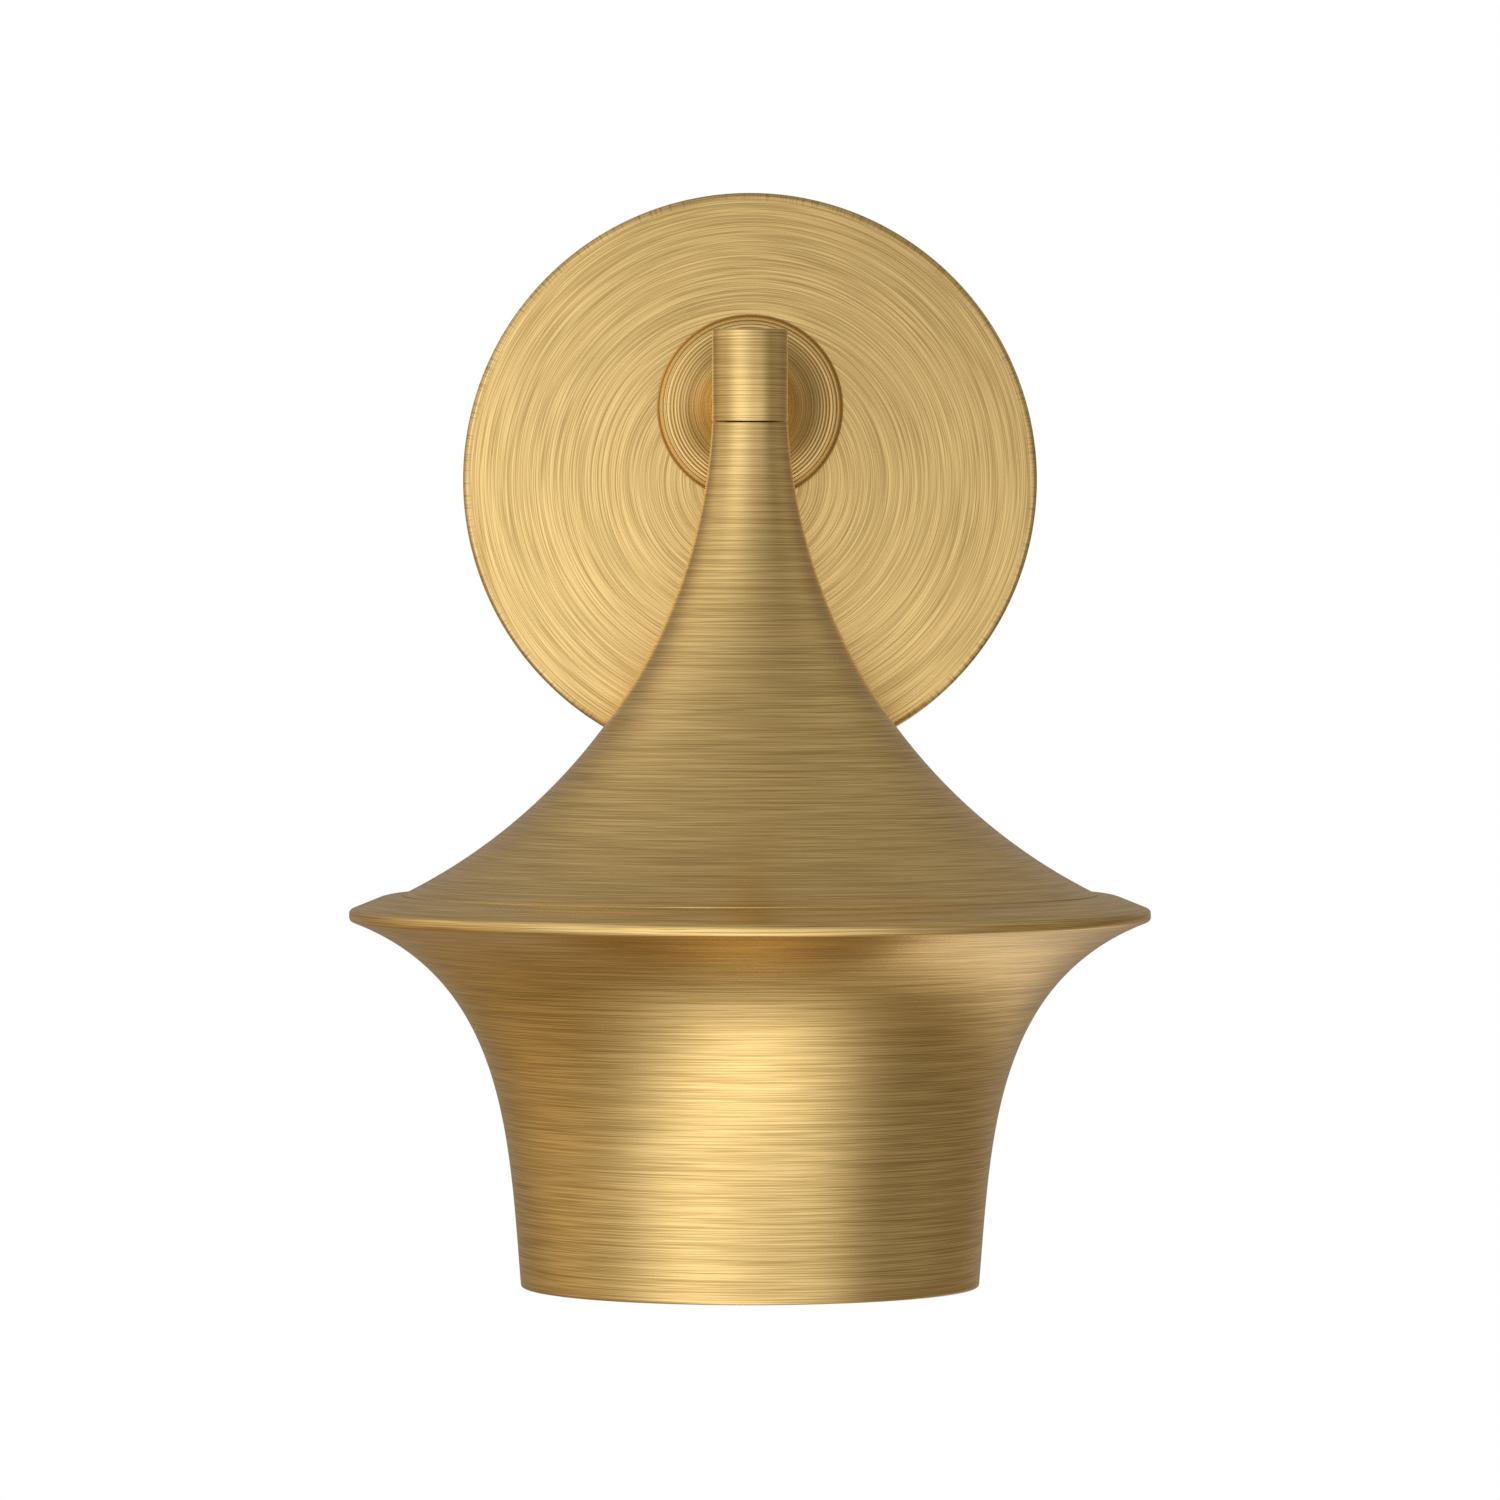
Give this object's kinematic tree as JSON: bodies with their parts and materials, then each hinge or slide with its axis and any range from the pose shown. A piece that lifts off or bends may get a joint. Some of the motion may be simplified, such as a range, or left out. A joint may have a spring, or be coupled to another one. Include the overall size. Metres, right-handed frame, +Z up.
{
  "type": "wall sconce",
  "caption": "Brass wall light: a spun shade with a concave conical roof and a flared cup hangs from a barrel hub on a short arm with a trumpet collar and a round backplate.",
  "frame": {"origin": "centre of the mounting strap's back face, in the plane of the wall, on the backplate's axis", "axes": "+Y into the wall, the room on the -Y side; +Z up; +X to the right seen from the room"},
  "size_m": [0.1734, 0.1907, 0.2407],
  "materials": {
    "brushed_brass": "fine brushed, satin",
    "raw_brass": "machined",
    "zinc_steel": "zinc plated",
    "green_steel": "green passivated",
    "nickel": "nickel plated, satin",
    "bronze": "sprung phosphor bronze",
    "porcelain": "glazed porcelain",
    "opal_glass": "opal white",
    "black_glass": "black glass",
    "black_insulation": "satin",
    "white_insulation": "satin",
    "green_insulation": "satin",
    "orange_plastic": "moulded",
    "green_plastic": "moulded"
  },
  "bodies": {
    "bracket": {"mounting_strap": "zinc_steel", "earth_screw": "green_steel"},
    "fixture": {"backplate": "brushed_brass", "left_fixing_nut": "zinc_steel", "right_fixing_nut": "zinc_steel", "arm_tube": "brushed_brass", "arm_flare": "brushed_brass", "earth_tag": "zinc_steel", "arm_washer": "zinc_steel", "arm_nut": "raw_brass", "hub": "brushed_brass", "stem": "raw_brass", "neck_bush": "raw_brass", "neck_washer": "zinc_steel", "neck_nut": "raw_brass", "roof": "brushed_brass", "cup": "brushed_brass", "holder_cap": "raw_brass", "holder_body": "porcelain", "screw_shell": "nickel", "centre_contact": "bronze", "live_terminal_screw": "raw_brass", "neutral_terminal_screw": "nickel", "live_lead": "black_insulation", "neutral_lead": "white_insulation", "earth_lead": "green_insulation", "live_connector": "orange_plastic", "neutral_connector": "orange_plastic", "earth_connector": "green_plastic"},
    "left_screw": {"left_fixing_screw": "raw_brass"},
    "right_screw": {"right_fixing_screw": "raw_brass"},
    "bulb": {"bulb_globe": "opal_glass", "bulb_cap": "nickel", "bulb_insulator": "black_glass", "bulb_contact": "nickel"}
  },
  "joints": [
    {"name": "fixture_lift_off", "type": "slide", "parent": "bracket", "child": "fixture", "axis": [0, -1, 0], "range_m": [0, 0.03]},
    {"name": "left_screw_out", "type": "slide", "parent": "fixture", "child": "left_screw", "axis": [-1, 0, 0], "range_m": [0, 0.003]},
    {"name": "right_screw_out", "type": "slide", "parent": "fixture", "child": "right_screw", "axis": [1, 0, 0], "range_m": [0, 0.003]},
    {"name": "bulb_removal", "type": "slide", "parent": "fixture", "child": "bulb", "axis": [0, 0, -1], "range_m": [0, 0.12]}
  ]
}
